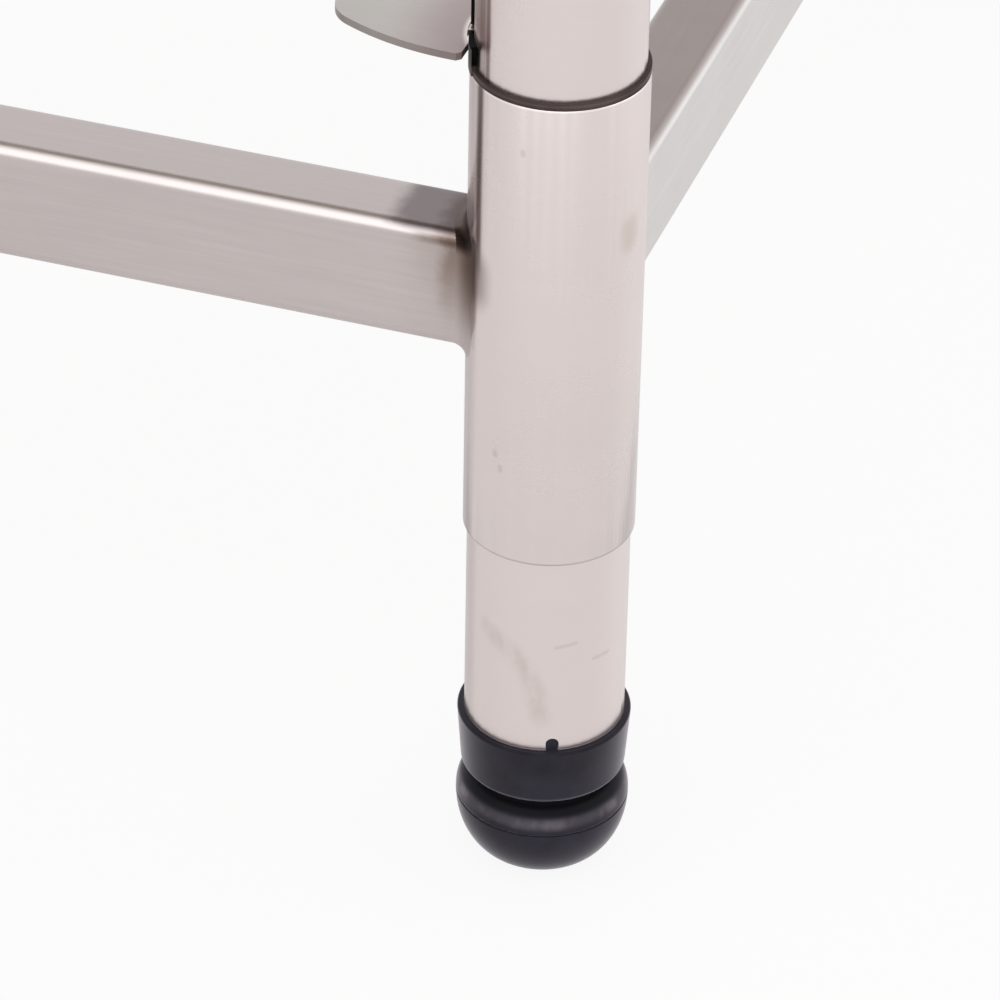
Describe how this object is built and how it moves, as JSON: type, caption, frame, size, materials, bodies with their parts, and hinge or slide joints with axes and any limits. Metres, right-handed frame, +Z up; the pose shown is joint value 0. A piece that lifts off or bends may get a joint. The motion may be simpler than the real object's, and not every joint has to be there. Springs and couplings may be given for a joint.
{
  "type": "stainless steel work table",
  "caption": "Stainless steel work table with round legs, a height-adjustable base frame on sleeves, shelf tabs and black levelling feet.",
  "frame": {"origin": "on the floor under the middle of the top, with the feet screwed right in", "axes": "+X to the right along the length, -Y to the front, +Z up"},
  "size_m": [1.22, 0.61, 0.864],
  "materials": {
    "top_sheet": "brushed along the length",
    "board": "raw particle board",
    "galvanized": "galvanized, matt",
    "zinc_fasteners": "bright zinc",
    "socket_steel": "satin",
    "polished_tube": "fine satin, faintly pink",
    "brushed_rail": "brushed along the rail",
    "tab_plate": "brushed across, darker cut edge",
    "black_plastic": "moulded, slightly glossy",
    "pad_rubber": "matt"
  },
  "bodies": {
    "table": {"table_top": "top_sheet", "top_core": "board", "channel_screws": "zinc_fasteners", "socket_bolts": "zinc_fasteners", "socket_nuts": "zinc_fasteners", "socket_set_screws": "zinc_fasteners", "hat_channel_front": "galvanized", "hat_channel_middle": "galvanized", "hat_channel_rear": "galvanized", "leg_socket_front_right": "socket_steel", "leg_socket_front_left": "socket_steel", "leg_socket_rear_right": "socket_steel", "leg_socket_rear_left": "socket_steel", "leg_tube_front_right": "polished_tube", "leg_tube_front_left": "polished_tube", "leg_tube_rear_right": "polished_tube", "leg_tube_rear_left": "polished_tube", "foot_insert_front_right": "black_plastic", "foot_insert_front_left": "black_plastic", "foot_insert_rear_right": "black_plastic", "foot_insert_rear_left": "black_plastic"},
    "base_frame": {"rail_front": "brushed_rail", "rail_rear": "brushed_rail", "rail_left": "brushed_rail", "rail_right": "brushed_rail", "clamp_bosses": "socket_steel", "clamp_screws": "zinc_fasteners", "sleeve_front_right": "polished_tube", "sleeve_front_left": "polished_tube", "sleeve_rear_right": "polished_tube", "sleeve_rear_left": "polished_tube", "sleeve_bush_front_right": "black_plastic", "sleeve_bush_front_left": "black_plastic", "sleeve_bush_rear_right": "black_plastic", "sleeve_bush_rear_left": "black_plastic", "shelf_tab_front_right": "tab_plate", "shelf_tab_front_left": "tab_plate", "shelf_tab_rear_right": "tab_plate", "shelf_tab_rear_left": "tab_plate"},
    "foot_front_right_travel": {"foot_pad_front_right": "pad_rubber"},
    "foot_front_right_turn": {"foot_bulb_front_right": "black_plastic", "foot_stem_front_right": "zinc_fasteners"},
    "foot_front_left_travel": {"foot_pad_front_left": "pad_rubber"},
    "foot_front_left_turn": {"foot_bulb_front_left": "black_plastic", "foot_stem_front_left": "zinc_fasteners"},
    "foot_rear_right_travel": {"foot_pad_rear_right": "pad_rubber"},
    "foot_rear_right_turn": {"foot_bulb_rear_right": "black_plastic", "foot_stem_rear_right": "zinc_fasteners"},
    "foot_rear_left_travel": {"foot_pad_rear_left": "pad_rubber"},
    "foot_rear_left_turn": {"foot_bulb_rear_left": "black_plastic", "foot_stem_rear_left": "zinc_fasteners"}
  },
  "joints": [
    {"name": "base_frame_height", "type": "slide", "parent": "table", "child": "base_frame", "axis": [0, 0, 1], "range_m": [0, 0.4]},
    {"name": "foot_front_right_height", "type": "slide", "parent": "table", "child": "foot_front_right_travel", "axis": [0, 0, -1], "range_m": [0, 0.025]},
    {"name": "foot_front_right_screw", "type": "hinge", "parent": "foot_front_right_travel", "child": "foot_front_right_turn", "pos_m": [0.545, -0.24, 0.02], "axis": [0, 0, -1], "range_deg": [0, 3001]},
    {"name": "foot_front_left_height", "type": "slide", "parent": "table", "child": "foot_front_left_travel", "axis": [0, 0, -1], "range_m": [0, 0.025]},
    {"name": "foot_front_left_screw", "type": "hinge", "parent": "foot_front_left_travel", "child": "foot_front_left_turn", "pos_m": [-0.545, -0.24, 0.02], "axis": [0, 0, -1], "range_deg": [0, 3001]},
    {"name": "foot_rear_right_height", "type": "slide", "parent": "table", "child": "foot_rear_right_travel", "axis": [0, 0, -1], "range_m": [0, 0.025]},
    {"name": "foot_rear_right_screw", "type": "hinge", "parent": "foot_rear_right_travel", "child": "foot_rear_right_turn", "pos_m": [0.545, 0.24, 0.02], "axis": [0, 0, -1], "range_deg": [0, 3001]},
    {"name": "foot_rear_left_height", "type": "slide", "parent": "table", "child": "foot_rear_left_travel", "axis": [0, 0, -1], "range_m": [0, 0.025]},
    {"name": "foot_rear_left_screw", "type": "hinge", "parent": "foot_rear_left_travel", "child": "foot_rear_left_turn", "pos_m": [-0.545, 0.24, 0.02], "axis": [0, 0, -1], "range_deg": [0, 3001]}
  ],
  "couplings": [
    {"joint": "foot_front_right_screw", "follows": "foot_front_right_height", "rad_per_m": 2094.4},
    {"joint": "foot_front_left_screw", "follows": "foot_front_left_height", "rad_per_m": 2094.4},
    {"joint": "foot_rear_right_screw", "follows": "foot_rear_right_height", "rad_per_m": 2094.4},
    {"joint": "foot_rear_left_screw", "follows": "foot_rear_left_height", "rad_per_m": 2094.4}
  ]
}
